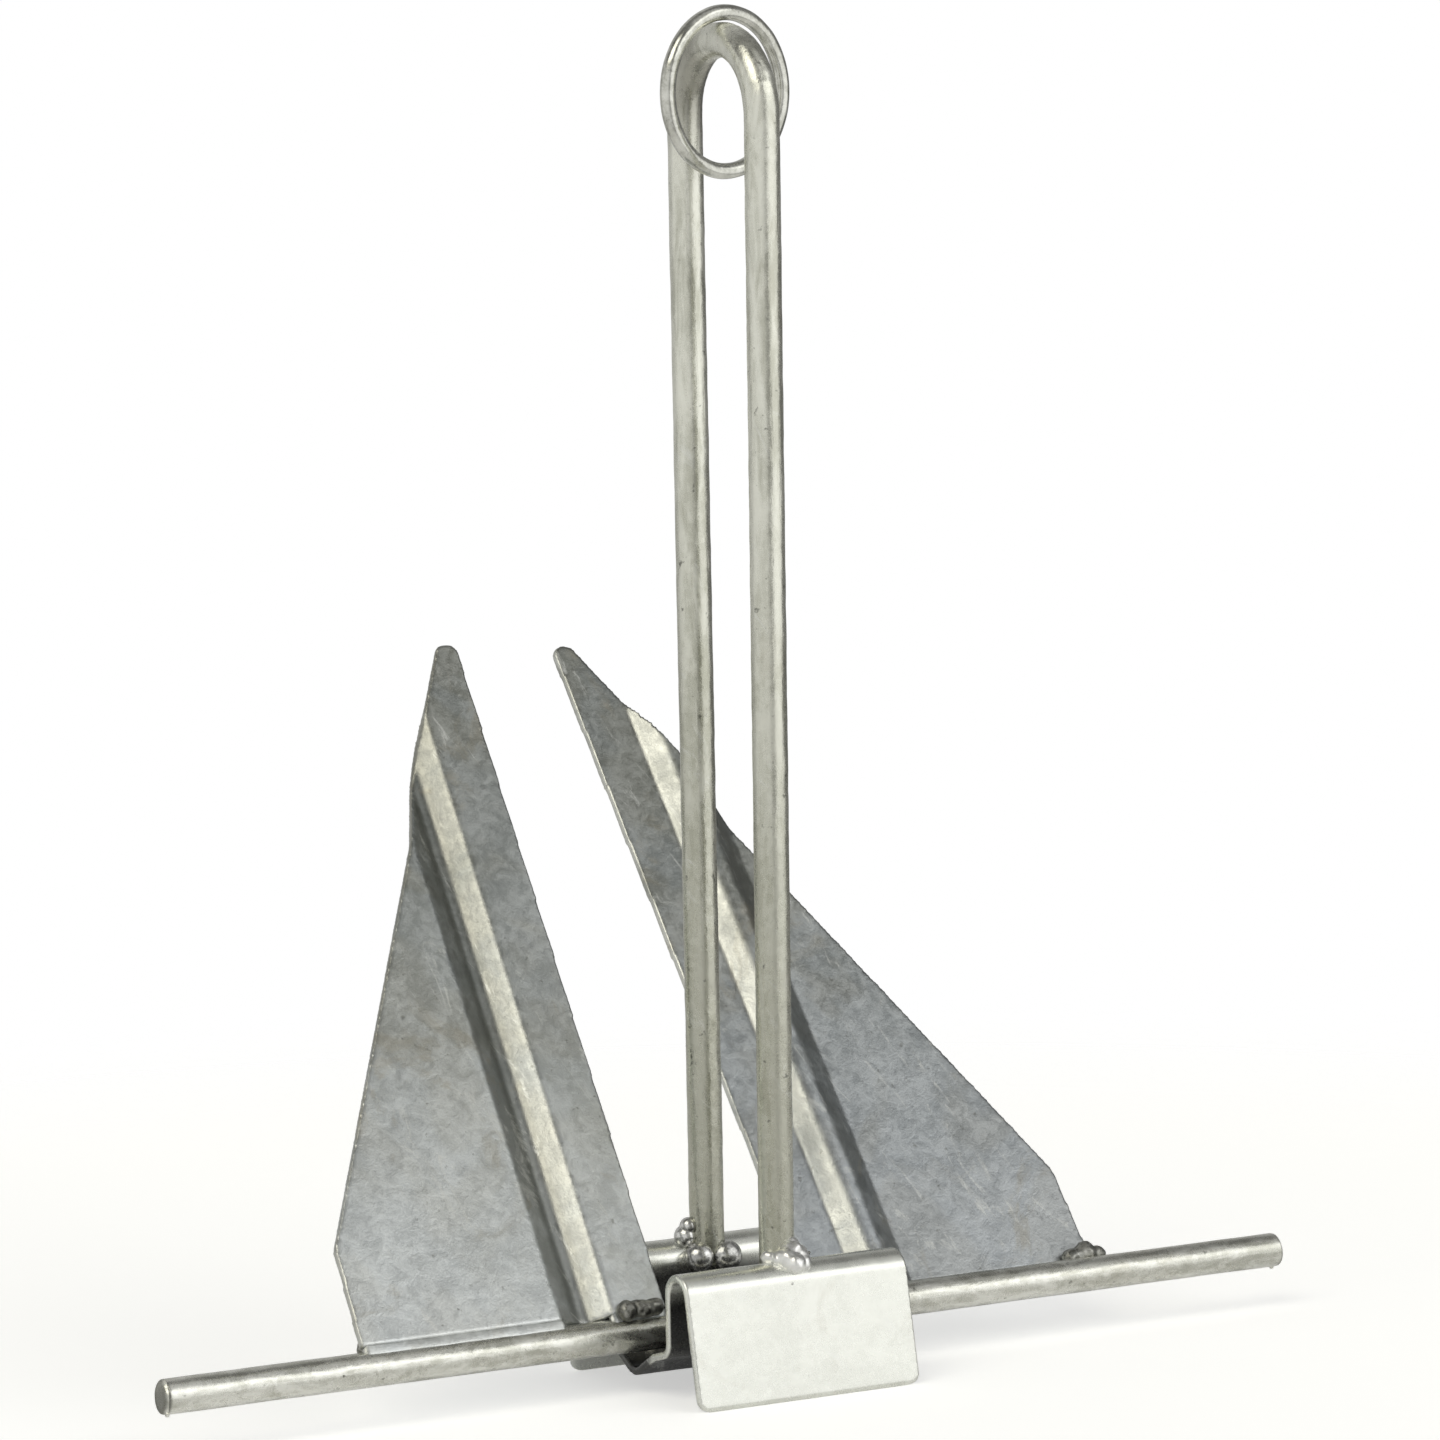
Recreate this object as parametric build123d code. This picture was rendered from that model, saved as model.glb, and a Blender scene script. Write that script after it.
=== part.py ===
from build123d import *
import os
from math import asin, atan2, cos, degrees, hypot, radians, sin

# Slip-ring fluke anchor of hot-dip galvanised steel, in millimetres.
# It stands upright on the bottom edges of its crown palms, with the flukes fallen back
# against the crown.  Origin: on the floor, under the middle of the stock's axis.
# +Z runs up the shank, X runs along the stock, and the flukes lean towards +Y.

# Round bars: the stock and the hairpin shank are the same size
rod_diameter = 12.7
stock_length = 469.6
stock_end_chamfer = 0.7
stock_height = 21.0             # stock axis above the floor

# Hairpin shank, its heights counted from the stock axis
leg_end_height = 17.0
leg_end_spacing = 48.4          # between the two leg centres at the crown
bend_radius = 26.5              # centreline of the bend at the top
bend_top_height = 460.1         # centreline of the bend at its highest point

# Crown: one bent plate, heights counted from the stock axis
crown_width = 92.2
crown_thickness = 3.0
wall_inner_y = 22.7             # face of each upright wall that looks at the stock
wall_foot_height = -2.2
step_inner_y = 12.6
step_inner_height = -4.9
trough_height = -12.6
wall_foot_radius = 3.0
step_radius = 6.0
trough_radius = 5.0
roll_centre_height = 18.3
roll_outer_radius = 8.1
palm_lean = 11.6                # degrees, outwards from upright
palm_corner_radius = 4.5

# Flukes: two equal stampings.  x runs outwards from the shank, s up the blade from the
# stock axis, and n is square to the blade
fluke_tilt = 35.95              # degrees back from upright
fluke_thickness = 3.0
fluke_offset = 4.2              # middle of the flat panels from the stock axis
fluke_foot_s = 6.6
foot_inner_x = 32.2
foot_outer_x = 156.2
knee_x = 153.8
knee_s = 45.3
tip_s = 285.2
tip_inner_x = 22.5
tip_outer_x = 30.4
tip_radius = 4.2
knee_radius = 3.0
panel_draw_in = 4.8             # how far pressing the rib pulls the outer panel inwards

# Pressed rib of each fluke, in widths counted from the fluke's inner edge
rib_start = 22.0
rib_inner_slope = 7.0
rib_crest = 3.4
rib_outer_slope = 11.1
rib_depth = 6.7
rib_foot_radius = 4.5
rib_crest_radius = 4.8

# Slip ring, hung on the bend
ring_wire_diameter = 5.7
ring_radius = 28.0              # to the middle of the wire
ring_clearance = 0.4
ring_shift = 1.1                # how far off the bend's middle it hangs, along X
ring_yaw = 13.0                 # degrees between the ring's plane and the stock
ring_weld_radius = 3.4
ring_weld_arc = 9.0             # degrees
ring_weld_angle = -50.0         # degrees round the ring from level

# Weld beads on the flukes
bead_balls = 4
inner_bead_radius = 3.8
inner_bead_s = 6.6
inner_bead_n = -6.4
inner_bead_x = (38.0, 49.0)
outer_bead_radius = 3.8
outer_bead_s = 8.0
outer_bead_n = -0.5
outer_bead_x = (146.0, 156.5)

# Weld beads at the legs' ends: x, distance out from the shank's middle, height over the
# stock axis, and radius of each ball.  No ball reaches through the crown's plate.
near_leg_balls = [(3.2, 31.5, 27.7, 4.3), (0.6, 35.4, 26.0, 3.7), (-1.0, 33.2, 27.3, 3.8),
                  (-5.6, 28.4, 27.6, 2.4)]
far_leg_balls = [(-6.0, 20.4, 20.4, 4.7), (4.6, 19.0, 20.2, 5.2), (-7.6, 26.6, 27.4, 3.6),
                 (-6.8, 25.6, 31.2, 2.5)]

rod_radius = rod_diameter / 2
stock_centre = (0, 0, stock_height)
bend_centre_height = bend_top_height - bend_radius


def upright_plane():
    """Section plane through the shank: x is the row's Y and y is height over the stock axis."""
    return Plane(origin=stock_centre, x_dir=(0, 1, 0), z_dir=(1, 0, 0))


def blade_plane():
    """Plane of the flukes: x along the stock, y up the blades, z out of their front."""
    tilt = radians(fluke_tilt)
    return Plane(origin=stock_centre, x_dir=(1, 0, 0), z_dir=(0, -cos(tilt), sin(tilt)))


def ball(x, y, z, radius):
    """Sphere with its poles along X, clear of the edges that later cuts give it."""
    return Pos(x, y, z) * Sphere(radius, rotation=(0, 90, 0))


def make_stock():
    bar = Pos(*stock_centre) * Cylinder(rod_radius, stock_length, rotation=(0, 90, 0))
    return chamfer(bar.edges().filter_by(GeomType.CIRCLE), stock_end_chamfer)


def make_shank():
    """Bar bent into a hairpin whose legs close in slightly from the bend to the crown."""
    half_spacing = leg_end_spacing / 2
    rise = bend_centre_height - leg_end_height
    lean = asin(bend_radius / hypot(half_spacing, rise)) - atan2(half_spacing, rise)
    tangent_y = bend_radius * cos(lean)
    tangent_height = bend_centre_height - bend_radius * sin(lean)
    near_leg = Line((-half_spacing, leg_end_height), (-tangent_y, tangent_height))
    bend = ThreePointArc((-tangent_y, tangent_height), (0, bend_top_height), (tangent_y, tangent_height))
    far_leg = Line((tangent_y, tangent_height), (half_spacing, leg_end_height))
    path = Wire([near_leg.edge(), bend.edge(), far_leg.edge()])
    section = Plane(origin=path @ 0, z_dir=path % 0) * Circle(rod_radius)
    return upright_plane() * sweep(section, path=path)


def crown_side(side):
    """Roll and palm of one side, along the face that continues the wall's inner face."""
    roll = JernArc((side * wall_inner_y, roll_centre_height), (0, 1), roll_outer_radius,
                   -side * (180 - palm_lean))
    palm_end_height = -stock_height - crown_thickness
    palm_length = ((roll @ 1).Y - palm_end_height) / cos(radians(palm_lean))
    palm = Line(roll @ 1, (roll @ 1) + (roll % 1) * palm_length)
    return [roll.edge(), palm.edge()]


def make_crown(shank):
    """Plate bent into a trough under the stock, two walls, two rolled tops and two palms."""
    trough = FilletPolyline(
        (-wall_inner_y, roll_centre_height), (-wall_inner_y, wall_foot_height),
        (-step_inner_y, step_inner_height), (0, trough_height), (step_inner_y, step_inner_height),
        (wall_inner_y, wall_foot_height), (wall_inner_y, roll_centre_height),
        radius=[wall_foot_radius, step_radius, trough_radius, step_radius, wall_foot_radius])
    outline = Wire(crown_side(-1) + trough.edges() + crown_side(1))
    section = Face(outline.offset_2d(-crown_thickness, side=Side.LEFT))
    plate = upright_plane() * extrude(section, crown_width / 2, both=True)
    under_floor = Pos(0, 0, -stock_height) * Box(2 * crown_width, 4 * crown_width, 2 * stock_height)
    plate = plate - under_floor
    foot_corners = [edge for edge in plate.edges().filter_by(Axis.Y)
                    if abs(edge.center().Z) < 0.01 and abs(abs(edge.center().X) - crown_width / 2) < 0.01]
    return fillet(foot_corners, palm_corner_radius) - shank


def fluke_outline():
    """Blank of one fluke, seen square to the blade."""
    outer_slant = (knee_x - (tip_outer_x - panel_draw_in)) / (tip_s - knee_s)
    inner_slant = (foot_inner_x - tip_inner_x) / (tip_s - fluke_foot_s)
    rib_end = rib_start + rib_inner_slope + rib_crest + rib_outer_slope
    drop_at_rib_start = (tip_inner_x + rib_start - tip_outer_x) / (outer_slant - inner_slant)
    drop_at_rib_end = (tip_inner_x + rib_end - tip_outer_x + panel_draw_in) / (outer_slant - inner_slant)
    rib_start_corner = (tip_outer_x + outer_slant * drop_at_rib_start, tip_s - drop_at_rib_start)
    rib_end_corner = (tip_outer_x - panel_draw_in + outer_slant * drop_at_rib_end, tip_s - drop_at_rib_end)
    blank = make_face(Polyline(
        (foot_inner_x, fluke_foot_s), (tip_inner_x, tip_s), (tip_outer_x, tip_s), rib_start_corner,
        rib_end_corner, (knee_x, knee_s), (foot_outer_x, fluke_foot_s), close=True))
    blank = fillet(blank.vertices().group_by(Axis.Y)[-1], tip_radius)
    knee = blank.vertices().sort_by_distance((knee_x, knee_s, 0))[0]
    return fillet(knee, knee_radius)


def ribbed_sheet():
    """Endless sheet with the pressed rib, running the way of the fluke's inner edge."""
    crest_start = rib_start + rib_inner_slope
    crest_end = crest_start + rib_crest
    rib_end = crest_end + rib_outer_slope
    panel_n = -fluke_offset - fluke_thickness / 2
    crest_n = panel_n + rib_depth
    back = FilletPolyline(
        (-rib_end, panel_n), (rib_start, panel_n), (crest_start, crest_n), (crest_end, crest_n),
        (rib_end, panel_n), (2 * foot_outer_x, panel_n),
        radius=[rib_foot_radius, rib_crest_radius, rib_crest_radius, rib_foot_radius])
    section = Face(Wire(back.edges()).offset_2d(fluke_thickness, side=Side.LEFT))
    lean = degrees(atan2(foot_inner_x - tip_inner_x, tip_s - fluke_foot_s))
    across = Plane(origin=(foot_inner_x, fluke_foot_s, 0), z_dir=(sin(radians(lean)), -cos(radians(lean)), 0),
                   x_dir=(cos(radians(lean)), sin(radians(lean)), 0))
    return across * extrude(section, tip_s, both=True)


def make_fluke():
    """One fluke in the blade plane's own axes, on the +x side, its rib standing forward."""
    blank = extrude(fluke_outline(), foot_outer_x, both=True)
    return blank & ribbed_sheet()


def bead(x_range, s, n, radius):
    """Fillet weld along the stock: a row of balls that run into each other."""
    step = (x_range[1] - x_range[0]) / (bead_balls - 1)
    return Part() + [ball(x_range[0] + step * index, s, n, radius) for index in range(bead_balls)]


def leg_welds(side, balls, shank, crown):
    """Weld metal between one leg's end and the crown."""
    metal = [ball(x, side * y, stock_height + z, radius) - shank - crown for x, y, z, radius in balls]
    return Part() + metal


def ring_plane():
    """Plane of the slip ring: x level, y up, through the ring's centre."""
    hang = rod_radius + ring_clearance + ring_wire_diameter / 2
    centre_height = stock_height + bend_top_height + hang - ring_radius
    yaw = radians(ring_yaw)
    return Plane(origin=(ring_shift, 0, centre_height), x_dir=(cos(yaw), sin(yaw), 0),
                 z_dir=(sin(yaw), -cos(yaw), 0))


def make_ring():
    return ring_plane() * Torus(ring_radius, ring_wire_diameter / 2)


def make_ring_weld():
    """Swollen butt weld that closes the ring: a band round the wire."""
    section = Circle(ring_weld_radius) - Circle(ring_wire_diameter / 2)
    placed = Plane.XZ * Pos(ring_radius, 0) * section
    band = revolve(placed, Axis.Z, ring_weld_arc)
    return ring_plane() * Rot(0, 0, ring_weld_angle) * band


def build_nodes():
    stock = make_stock()
    shank = make_shank()
    crown = make_crown(shank)
    nodes = {
        "shank": shank,
        "crown_plate": crown,
        "near_leg_welds": leg_welds(-1, near_leg_balls, shank, crown),
        "far_leg_welds": leg_welds(1, far_leg_balls, shank, crown),
        "stock_rod": stock,
        "slip_ring": make_ring(),
        "ring_weld": make_ring_weld(),
    }
    blade = make_fluke()
    inner_bead = bead(inner_bead_x, inner_bead_s, inner_bead_n, inner_bead_radius) - blade
    outer_bead = bead(outer_bead_x, outer_bead_s, outer_bead_n, outer_bead_radius) - blade
    for side, half_turn in (("right", 0), ("left", 180)):
        place = blade_plane() * Rot(0, half_turn, 0)
        nodes[side + "_fluke"] = place * blade
        nodes[side + "_fluke_inner_weld"] = place * inner_bead - stock
        nodes[side + "_fluke_outer_weld"] = place * outer_bead - stock
    return nodes


def main():
    os.makedirs("parts", exist_ok=True)
    for name, shape in build_nodes().items():
        export_step(shape, "parts/" + name + ".step")
        print(name, "solids", len(shape.solids()), "volume", round(shape.volume))


main()
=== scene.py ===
import math
import random

import bmesh
import bpy
from mathutils import Matrix, Vector, noise
from mathutils.bvhtree import BVHTree


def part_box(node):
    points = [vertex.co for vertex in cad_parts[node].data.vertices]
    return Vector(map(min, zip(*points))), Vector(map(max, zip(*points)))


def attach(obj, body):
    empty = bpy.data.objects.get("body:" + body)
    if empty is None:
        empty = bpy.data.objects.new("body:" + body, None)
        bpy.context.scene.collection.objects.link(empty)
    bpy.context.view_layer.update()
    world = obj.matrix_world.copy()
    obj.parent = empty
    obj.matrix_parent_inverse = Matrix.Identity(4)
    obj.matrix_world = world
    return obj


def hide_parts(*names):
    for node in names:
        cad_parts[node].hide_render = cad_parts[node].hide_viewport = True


# A slip-ring fluke anchor of hot-dip galvanised steel.  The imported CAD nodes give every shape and
# place.  This script rounds their edges and makes their zinc slightly uneven.  It makes the stock
# again as a sheared bar, and the welds that show most again as lumpy mounds.  It closes the gap
# between the flukes and the stock with seams of zinc, and adds the drips and spatter that welding
# and hot dipping leave.  Each kind of piece gets its own procedural zinc.

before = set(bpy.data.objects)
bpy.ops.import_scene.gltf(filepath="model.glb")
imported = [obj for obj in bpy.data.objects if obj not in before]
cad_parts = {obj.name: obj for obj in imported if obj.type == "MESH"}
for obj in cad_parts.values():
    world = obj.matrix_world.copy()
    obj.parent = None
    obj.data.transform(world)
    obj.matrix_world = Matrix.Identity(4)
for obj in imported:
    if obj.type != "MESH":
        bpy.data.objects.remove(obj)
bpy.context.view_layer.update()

MM = 0.001
SHANK_BODY = "shank_and_crown"
FLUKE_BODY = "flukes"
FLUKE_LEAN = math.radians(35.95)     # back from upright

STOCK_LOW, STOCK_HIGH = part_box("stock_rod")
STOCK_MIDDLE = (STOCK_LOW + STOCK_HIGH) / 2
STOCK_HEIGHT = (STOCK_LOW[2] + STOCK_HIGH[2]) / 2
STOCK_RADIUS = (STOCK_HIGH[2] - STOCK_LOW[2]) / 2
STOCK_HALF_LENGTH = (STOCK_HIGH[0] - STOCK_LOW[0]) / 2


# ---------------------------------------------------------------- node helpers

# The places of the colour sockets in a Mix node's lists of inputs and outputs.
MIX_SHARE, MIX_A, MIX_B = 0, 6, 7
MIX_RESULT = 2


class Nodes:
    """Short calls for building one node tree."""

    def __init__(self, tree):
        self.tree = tree
        tree.nodes.clear()

    def add(self, kind, **settings):
        node = self.tree.nodes.new(kind)
        for name, value in settings.items():
            setattr(node, name, value)
        return node

    def link(self, source, target):
        self.tree.links.new(source, target)

    def feed(self, socket, value):
        if isinstance(value, bpy.types.NodeSocket):
            self.link(value, socket)
        else:
            socket.default_value = value

    def math(self, operation, a, b=0.0):
        node = self.add("ShaderNodeMath", operation=operation)
        self.feed(node.inputs[0], a)
        self.feed(node.inputs[1], b)
        return node.outputs[0]

    def weigh(self, *pairs):
        """The sum of each value times its weight."""
        total = 0.0
        for value, weight in pairs:
            total = self.math("ADD", self.math("MULTIPLY", value, weight), total)
        return total

    def span(self, value, low, high, to_low=0.0, to_high=1.0):
        """value from low to high becomes to_low to to_high, with soft ends."""
        node = self.add("ShaderNodeMapRange", interpolation_type="SMOOTHSTEP")
        for socket, number in zip(node.inputs[:5], (value, low, high, to_low, to_high)):
            self.feed(socket, number)
        return node.outputs[0]

    def within(self, angle, start, end, edge):
        """1 where an angle is between start and end, 0 outside, with a soft edge, in degrees."""
        start, end, edge = (math.radians(value) for value in (start, end, edge))
        entering = self.span(angle, start - edge / 2, start + edge / 2)
        leaving = self.span(angle, end + edge / 2, end - edge / 2)
        return self.math("MULTIPLY", entering, leaving)

    def place(self, stretch=(1, 1, 1), turn=(0, 0, 0)):
        """Coordinates fixed to the object, in metres, turned and then stretched."""
        where = self.add("ShaderNodeTexCoord")
        turned = self.add("ShaderNodeMapping")
        turned.inputs["Rotation"].default_value = turn
        self.link(where.outputs["Object"], turned.inputs["Vector"])
        stretched = self.add("ShaderNodeMapping")
        stretched.inputs["Scale"].default_value = stretch
        self.link(turned.outputs[0], stretched.inputs["Vector"])
        return stretched.outputs[0]

    def along_axis(self, axis):
        """Distance along X, Y or Z when the object is at rest, in metres."""
        split = self.add("ShaderNodeSeparateXYZ")
        self.link(self.place(), split.inputs[0])
        return split.outputs[axis]

    def reach(self, axis, side):
        """Distance along an axis towards its side 1 or -1, or either way for side 0."""
        distance = self.along_axis(axis)
        return self.math("MULTIPLY", distance, side) if side else self.math("ABSOLUTE", distance)

    def before_stock(self):
        """Distance in front of the stock's axis, square to the flukes, in metres."""
        height = -math.sin(FLUKE_LEAN) * STOCK_HEIGHT
        return self.weigh((self.along_axis("Y"), -math.cos(FLUKE_LEAN)),
                          (self.along_axis("Z"), math.sin(FLUKE_LEAN)), (1.0, height))

    def facing(self, axis):
        """How squarely the surface faces along X, Y or Z when the object is at rest, -1 to 1."""
        split = self.add("ShaderNodeSeparateXYZ")
        self.link(self.add("ShaderNodeTexCoord").outputs["Normal"], split.inputs[0])
        return split.outputs[axis]

    def cloud(self, vector, size, detail, roughness=0.6, distortion=0.0):
        """Noise from 0 to 1 whose blotches are about size metres across."""
        node = self.add("ShaderNodeTexNoise")
        self.link(vector, node.inputs["Vector"])
        node.inputs["Scale"].default_value = 1 / size
        node.inputs["Detail"].default_value = detail
        node.inputs["Roughness"].default_value = roughness
        node.inputs["Distortion"].default_value = distortion
        return node.outputs["Fac"]

    def crystals(self, vector, size):
        """Zinc crystals: one even random grey for each cell."""
        node = self.add("ShaderNodeTexVoronoi")
        self.link(vector, node.inputs["Vector"])
        node.inputs["Scale"].default_value = 1 / size
        split = self.add("ShaderNodeSeparateColor")
        self.link(node.outputs["Color"], split.inputs[0])
        return split.outputs[0]

    def mix(self, share, a, b):
        """Colour a with a share of colour b in it."""
        node = self.add("ShaderNodeMix", data_type="RGBA")
        self.feed(node.inputs[MIX_SHARE], share)
        self.feed(node.inputs[MIX_A], a)
        self.feed(node.inputs[MIX_B], b)
        return node.outputs[MIX_RESULT]

    def glow(self, tint, strength):
        background = self.add("ShaderNodeBackground")
        background.inputs["Color"].default_value = tint
        self.feed(background.inputs["Strength"], strength)
        return background.outputs[0]

    def mix_shaders(self, share, a, b):
        """Shader a with a share of shader b in it."""
        node = self.add("ShaderNodeMixShader")
        for socket, source in zip(node.inputs, (share, a, b)):
            self.link(source, socket)
        return node.outputs[0]

    def end_with(self, kind, shader):
        """Adds the tree's output, of the given kind, and links the shader to it."""
        self.link(shader, self.add(kind).inputs["Surface"])


def colour(r, g, b):
    return (r, g, b, 1.0)


# ---------------------------------------------------------------- zinc

CRYSTAL_SIZE = 2.4 * MM
GRIT_SIZE = 0.9 * MM
PIT_SIZE = 3.6 * MM
SMEAR_SIZE = 12 * MM
TINGE_SIZE = 45 * MM
STAIN_SIZE = 1.3                     # in blotches
SMEAR_STRETCH = (1.0, 0.5, 0.28)     # smears are long, and lie askew
SMEAR_TURN = (0.5, 0.35, 0.6)
# How much each noise counts in the tone from dark to light.
BLOTCH_WEIGHT, MOTTLE_WEIGHT, GRIT_WEIGHT, CRYSTAL_WEIGHT = 0.38, 0.46, 0.10, 0.06
# How much the grain and the pits count in the bumps, where the mottling counts 1.
GRIT_RELIEF, PIT_RELIEF = 0.22, 0.5
# The levels of noise at which each effect starts and is full.
TINGE_LEVELS = (0.42, 0.58)
STREAK_LEVELS = (0.38, 0.58)
PATCH_LEVELS = (0.36, 0.56)
STAIN_LEVELS = (0.56, 0.70)
SMEAR_LEVELS = (0.57, 0.68)
PIT_LEVELS = (0.34, 0.24)            # downwards, because pits are where the noise is lowest
DULL_LEVELS = (0.35, 0.65)
LEAST_PATCH = 0.45                   # how much of a slope's colour is left between its patches
SLOPE_FACING = (0.16, 0.56)          # how squarely a slope faces a side, from none to full colour
GROOVE_SHARE = 0.6


class Zinc:
    """How one piece's zinc looks.  Sizes are in metres."""
    dark = colour(0.40, 0.41, 0.38)
    light = colour(0.70, 0.70, 0.66)
    low = None                       # colour that shows more and more towards the floor
    high = None                      # colour that shows more and more towards the top
    fade = (0.05, 0.25)              # heights between which low gives way to high
    fade_share = 0.6                 # how much of low and high shows at most
    evenness = 1.0                   # how much of that is left in the darkest streaks
    tinge = 0.0                      # share of the broad cool and warm clouds
    cool = colour(0.48, 0.54, 0.61)
    warm = colour(0.30, 0.275, 0.20)
    # painted shade at the bottom of the left fluke's pressed rib
    groove = None                    # colour of the bottom of the left fluke's groove
    groove_edge = (0.0, 2.2 * MM)    # where it fades out, measured in front of the stock's axis
    # mostly painted shade; the stock's sheared faces are darker too
    shades = ()                      # each a colour and share, then (axis, side, full at, none at)
    # painted highlight on slopes facing left and painted shade on slopes facing right
    slopes = ()                      # each the side along X that it faces, its colour and share
    stain = colour(0.42, 0.38, 0.29)
    smear = colour(0.84, 0.85, 0.82)
    speck = colour(0.16, 0.16, 0.14)
    stretch = (1, 1, 1)              # a number under 1 draws the blotches out along that axis
    blotch = 30 * MM                 # size of the broad blotches
    mottle = 5 * MM                  # size of the finer mottling
    contrast = 0.09                  # half the range of noise between dark and light
    grit = 1.0                       # how much the finest grain shows, in shares of the usual
    smears = 0.4                     # how strong the smears, stains and specks are, up to 1
    stains = 0.25
    specks = 0.5
    gloss = (0.30, 0.50)             # roughness from the smooth to the dull parts
    metallic = 0.9
    relief = 0.09 * MM               # height of the bumps


class ZincNodes(Nodes):
    """One zinc material's nodes.  Most steps take the colour so far and return the next one."""

    def __init__(self, tree, look):
        super().__init__(tree)
        self.look = look
        self.plain = self.place()
        self.along = self.place(look.stretch)
        self.blotches = self.cloud(self.along, look.blotch, detail=4.0, distortion=0.6)
        self.mottling = self.cloud(self.along, look.mottle, detail=4.0, roughness=0.62,
                                   distortion=0.8)
        self.grit = self.cloud(self.plain, GRIT_SIZE, detail=3.0, roughness=0.7)
        self.pits = self.cloud(self.plain, PIT_SIZE, detail=3.0, roughness=0.55)

    def toned(self):
        """The first colour: blotches, mottling, grain and crystals from dark to light."""
        look = self.look
        crystals = self.crystals(self.plain, CRYSTAL_SIZE)
        tone = self.weigh((self.blotches, BLOTCH_WEIGHT), (self.mottling, MOTTLE_WEIGHT),
                          (self.grit, GRIT_WEIGHT * look.grit), (crystals, CRYSTAL_WEIGHT))
        middle = 0.5 - GRIT_WEIGHT / 2 * (1 - look.grit)
        tone = self.span(tone, middle - look.contrast, middle + look.contrast)
        return self.mix(tone, look.dark, look.light)

    def tinged(self, skin):
        """Broad cool and warm clouds."""
        if not self.look.tinge:
            return skin
        broad = self.cloud(self.plain, TINGE_SIZE, detail=3.0, roughness=0.55, distortion=0.8)
        tinge = self.mix(self.span(broad, *TINGE_LEVELS), self.look.cool, self.look.warm)
        return self.mix(self.look.tinge, skin, tinge)

    def faded(self, skin):
        """One colour towards the floor and another towards the top, less in the darkest streaks."""
        look = self.look
        streaks = self.weigh((self.blotches, 0.5), (self.mottling, 0.5))
        streaky = self.span(streaks, *STREAK_LEVELS, look.evenness, 1.0)
        for tint, none, full in ((look.low, *reversed(look.fade)), (look.high, *look.fade)):
            if tint:
                share = self.span(self.along_axis("Z"), none, full, 0.0, look.fade_share)
                skin = self.mix(self.math("MULTIPLY", share, streaky), skin, tint)
        return skin

    def grooved(self, skin):
        """Painted shade at the bottom of the pressed rib, by how far it lies in front of the
        stock's axis.
        """
        if not self.look.groove:
            return skin
        depth = self.span(self.before_stock(), *self.look.groove_edge, GROOVE_SHARE, 0.0)
        return self.mix(depth, skin, self.look.groove)

    def sloped(self, skin):
        """Patchy painted highlight and shade on the slopes of the ribs, by the side that they face.
        """
        patchy = self.span(self.blotches, *PATCH_LEVELS, LEAST_PATCH, 1.0)
        for side, tint, share in self.look.slopes:
            towards = self.math("MULTIPLY", self.facing("X"), side)
            sloping = self.span(towards, *SLOPE_FACING, 0.0, share)
            skin = self.mix(self.math("MULTIPLY", sloping, patchy), skin, tint)
        return skin

    def shaded(self, skin):
        """Colours that fill regions of the object, each region where all its bounds hold.  Most are
        painted shade.
        """
        for tint, share, *bounds in self.look.shades:
            for axis, side, full, none in bounds:
                held = self.span(self.reach(axis, side), full, none, 1.0, 0.0)
                share = self.math("MULTIPLY", held, share)
            skin = self.mix(share, skin, tint)
        return skin

    def marked(self, skin):
        """Brown stains, pale wiped smears and dark specks."""
        look = self.look
        stained = self.cloud(self.along, look.blotch * STAIN_SIZE, detail=5.0, roughness=0.7,
                             distortion=1.0)
        skin = self.mix(self.span(stained, *STAIN_LEVELS, 0.0, look.stains), skin, look.stain)
        askew = self.place(SMEAR_STRETCH, SMEAR_TURN)
        smeared = self.cloud(askew, SMEAR_SIZE, detail=7.0, roughness=0.72, distortion=1.6)
        skin = self.mix(self.span(smeared, *SMEAR_LEVELS, 0.0, look.smears), skin, look.smear)
        return self.mix(self.span(self.pits, *PIT_LEVELS, 0.0, look.specks), skin, look.speck)

    def roughened(self):
        dullness = self.weigh((self.mottling, 0.6), (self.grit, 0.4))
        return self.span(dullness, *DULL_LEVELS, *self.look.gloss)

    def raised(self):
        """Bumps from the same noises as the colour."""
        bump = self.add("ShaderNodeBump")
        bump.inputs["Strength"].default_value = 1.0
        bump.inputs["Distance"].default_value = self.look.relief
        height = self.weigh((self.mottling, 1.0), (self.grit, GRIT_RELIEF * self.look.grit),
                            (self.pits, PIT_RELIEF))
        self.link(height, bump.inputs["Height"])
        return bump.outputs[0]

    def surface(self, skin):
        shader = self.add("ShaderNodeBsdfPrincipled")
        self.link(skin, shader.inputs["Base Color"])
        self.link(self.roughened(), shader.inputs["Roughness"])
        self.link(self.raised(), shader.inputs["Normal"])
        shader.inputs["Metallic"].default_value = self.look.metallic
        self.end_with("ShaderNodeOutputMaterial", shader.outputs[0])


def zinc(name, **changes):
    """A hot-dip zinc material: the usual look with the given changes."""
    look = Zinc()
    for key, value in changes.items():
        setattr(look, key, value)
    material = bpy.data.materials.new(name)
    material.use_nodes = True
    n = ZincNodes(material.node_tree, look)
    skin = n.toned()
    for step in (n.tinged, n.faded, n.grooved, n.sloped, n.shaded, n.marked):
        skin = step(skin)
    n.surface(skin)
    return material


# ---------------------------------------------------------------- the materials

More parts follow.
